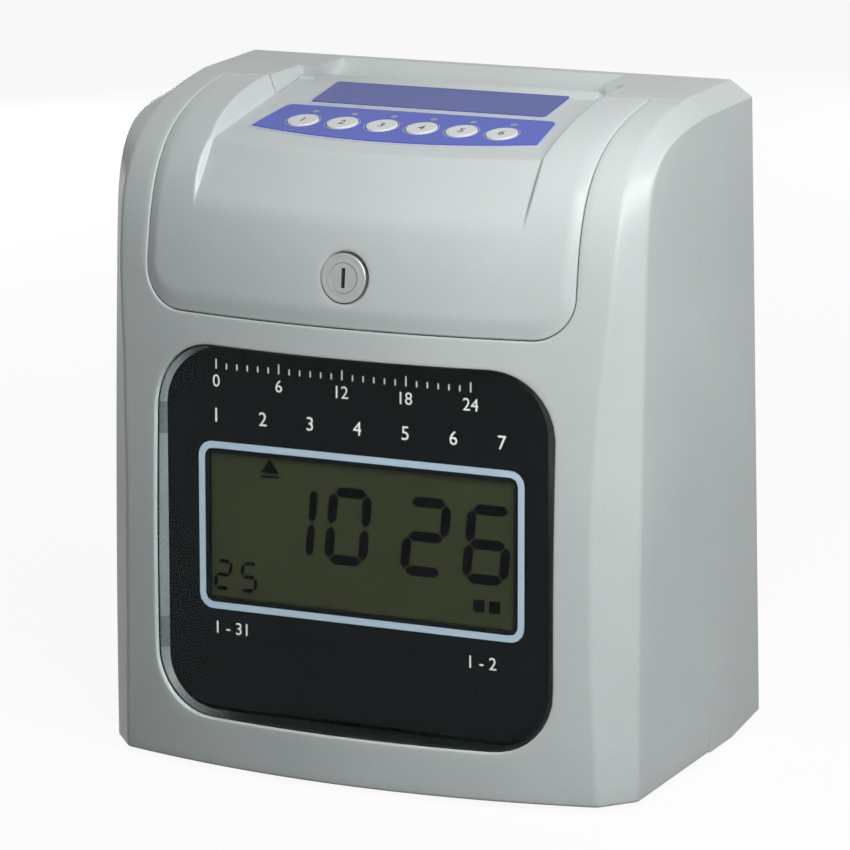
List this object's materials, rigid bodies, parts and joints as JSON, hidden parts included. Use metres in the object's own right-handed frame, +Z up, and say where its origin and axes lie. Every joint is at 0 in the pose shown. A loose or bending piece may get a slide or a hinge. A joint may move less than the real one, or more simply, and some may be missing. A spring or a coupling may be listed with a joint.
{
  "type": "time clock",
  "caption": "Desk or wall time clock: bowed case with a display window, a hinged locked cover with round keys, a card slot at the rear and a card lift and print unit inside.",
  "frame": {"origin": "middle of the footprint, on the surface that the feet stand on", "axes": "+Z up, -Y to the display front, +X to the right seen from the front"},
  "size_m": [0.238, 0.147, 0.2719],
  "materials": {
    "case_moulding": "fine matt texture, light grey ABS",
    "cover_moulding": "smooth light grey ABS",
    "foot_rubber": "matt",
    "zinc_screws": "zinc plated",
    "clear_lens": "clear acrylic",
    "black_print": "black screen print on the back of a clear sheet",
    "pale_moulding": "off-white ABS",
    "display_glass": "reflective display glass",
    "circuit_board": "green solder resist",
    "zinc_sheet": "zinc coated sheet",
    "black_moulding": "moulded",
    "ground_steel": "ground",
    "motor_can": "drawn can",
    "belt_rubber": "moulded",
    "iron_core": "varnished laminations",
    "battery_sleeve": "shrink sleeve",
    "ribbon_cloth": "inked nylon",
    "blue_film": "printed polyester film",
    "lamp_red": "tinted lamp",
    "lock_plating": "satin nickel plate",
    "key_white": "smooth",
    "head_alloy": "die cast",
    "knob_blue": "moulded"
  },
  "bodies": {
    "case": {"front_case": "case_moulding", "rear_case": "case_moulding", "feet": "foot_rubber", "case_screws": "zinc_screws", "lens_window": "clear_lens", "display_panel": "black_print", "lcd_holder": "pale_moulding", "lcd_glass": "display_glass", "display_board": "circuit_board", "display_screws": "zinc_screws", "base_plate": "zinc_sheet", "base_screws": "zinc_screws", "side_frame_left": "zinc_sheet", "side_frame_right": "zinc_sheet", "chute_back": "pale_moulding", "chute_front_lower": "pale_moulding", "chute_front_upper": "pale_moulding", "card_sensor": "black_moulding", "guide_shafts": "ground_steel", "cross_plate": "zinc_sheet", "carriage_motor": "motor_can", "idler_post": "ground_steel", "carriage_belt": "belt_rubber", "lift_bracket": "zinc_sheet", "lift_motor": "motor_can", "screw_bearing": "zinc_sheet", "main_board": "circuit_board", "board_screws": "zinc_screws", "transformer": "iron_core", "battery_pack": "battery_sleeve", "power_inlet": "black_moulding", "hinge_pins": "ground_steel", "lock_catch": "zinc_sheet", "cassette_tray": "zinc_sheet", "ribbon_cassette": "black_moulding", "ink_ribbon": "ribbon_cloth"},
    "cover": {"top_cover": "cover_moulding", "keypad_overlay": "blue_film", "name_plate": "blue_film", "key_board": "circuit_board", "key_board_screws": "zinc_screws", "status_leds": "lamp_red", "lock_barrel": "lock_plating", "lock_nut": "lock_plating"},
    "lock": {"lock_plug": "lock_plating", "lock_cam": "zinc_sheet"},
    "carriage": {"print_carriage": "black_moulding", "print_head": "head_alloy"},
    "drive_pulley": {"drive_pulley": "pale_moulding"},
    "idler_pulley": {"idler_pulley": "pale_moulding"},
    "card_carrier": {"card_carrier": "black_moulding"},
    "lead_screw": {"lead_screw": "ground_steel"},
    "ribbon_knob": {"ribbon_knob": "knob_blue"},
    "supply_hub": {"supply_hub": "black_moulding"},
    "key_1": {"key_1": "key_white"},
    "key_2": {"key_2": "key_white"},
    "key_3": {"key_3": "key_white"},
    "key_4": {"key_4": "key_white"},
    "key_5": {"key_5": "key_white"},
    "key_6": {"key_6": "key_white"}
  },
  "joints": [
    {"name": "cover_hinge", "type": "hinge", "parent": "case", "child": "cover", "pos_m": [0, 0.045, 0.265], "axis": [-1, 0, 0], "range_deg": [0, 75]},
    {"name": "lock_turn", "type": "hinge", "parent": "cover", "child": "lock", "pos_m": [0, -0.05906, 0.209], "axis": [0, 0.9893, -0.1459], "range_deg": [0, 90]},
    {"name": "carriage_slide", "type": "slide", "parent": "case", "child": "carriage", "axis": [1, 0, 0], "range_m": [-0.028, 0.028]},
    {"name": "drive_turn", "type": "hinge", "parent": "case", "child": "drive_pulley", "pos_m": [-0.066, 0.012, 0.2085], "axis": [0, 0, 1], "range_deg": [-217, 217]},
    {"name": "idler_turn", "type": "hinge", "parent": "case", "child": "idler_pulley", "pos_m": [0.066, 0.012, 0.2085], "axis": [0, 0, 1], "range_deg": [-217, 217]},
    {"name": "lift_slide", "type": "slide", "parent": "case", "child": "card_carrier", "axis": [0, 0, 1], "range_m": [-0.105, 0]},
    {"name": "screw_turn", "type": "hinge", "parent": "case", "child": "lead_screw", "pos_m": [0, 0.0614, 0.1325], "axis": [0, 0, 1], "range_deg": [-3151, 0]},
    {"name": "ribbon_turn", "type": "hinge", "parent": "case", "child": "ribbon_knob", "pos_m": [-0.04, 0.028, 0.2475], "axis": [0, 0, 1], "continuous": true},
    {"name": "supply_turn", "type": "hinge", "parent": "case", "child": "supply_hub", "pos_m": [0.04, 0.028, 0.2475], "axis": [0, 0, 1], "continuous": true},
    {"name": "key_1_press", "type": "slide", "parent": "cover", "child": "key_1", "axis": [0, 0.158, -0.9874], "range_m": [0, 0.0008], "stiffness_N_per_m": 400, "springref_m": -0.001},
    {"name": "key_2_press", "type": "slide", "parent": "cover", "child": "key_2", "axis": [0, 0.158, -0.9874], "range_m": [0, 0.0008], "stiffness_N_per_m": 400, "springref_m": -0.001},
    {"name": "key_3_press", "type": "slide", "parent": "cover", "child": "key_3", "axis": [0, 0.158, -0.9874], "range_m": [0, 0.0008], "stiffness_N_per_m": 400, "springref_m": -0.001},
    {"name": "key_4_press", "type": "slide", "parent": "cover", "child": "key_4", "axis": [0, 0.158, -0.9874], "range_m": [0, 0.0008], "stiffness_N_per_m": 400, "springref_m": -0.001},
    {"name": "key_5_press", "type": "slide", "parent": "cover", "child": "key_5", "axis": [0, 0.158, -0.9874], "range_m": [0, 0.0008], "stiffness_N_per_m": 400, "springref_m": -0.001},
    {"name": "key_6_press", "type": "slide", "parent": "cover", "child": "key_6", "axis": [0, 0.158, -0.9874], "range_m": [0, 0.0008], "stiffness_N_per_m": 400, "springref_m": -0.001}
  ],
  "couplings": [
    {"joint": "drive_turn", "follows": "carriage_slide", "rad_per_m": -135.13},
    {"joint": "idler_turn", "follows": "carriage_slide", "rad_per_m": -135.13},
    {"joint": "screw_turn", "follows": "lift_slide", "rad_per_m": 523.6},
    {"joint": "supply_turn", "follows": "ribbon_turn", "ratio": 1}
  ]
}
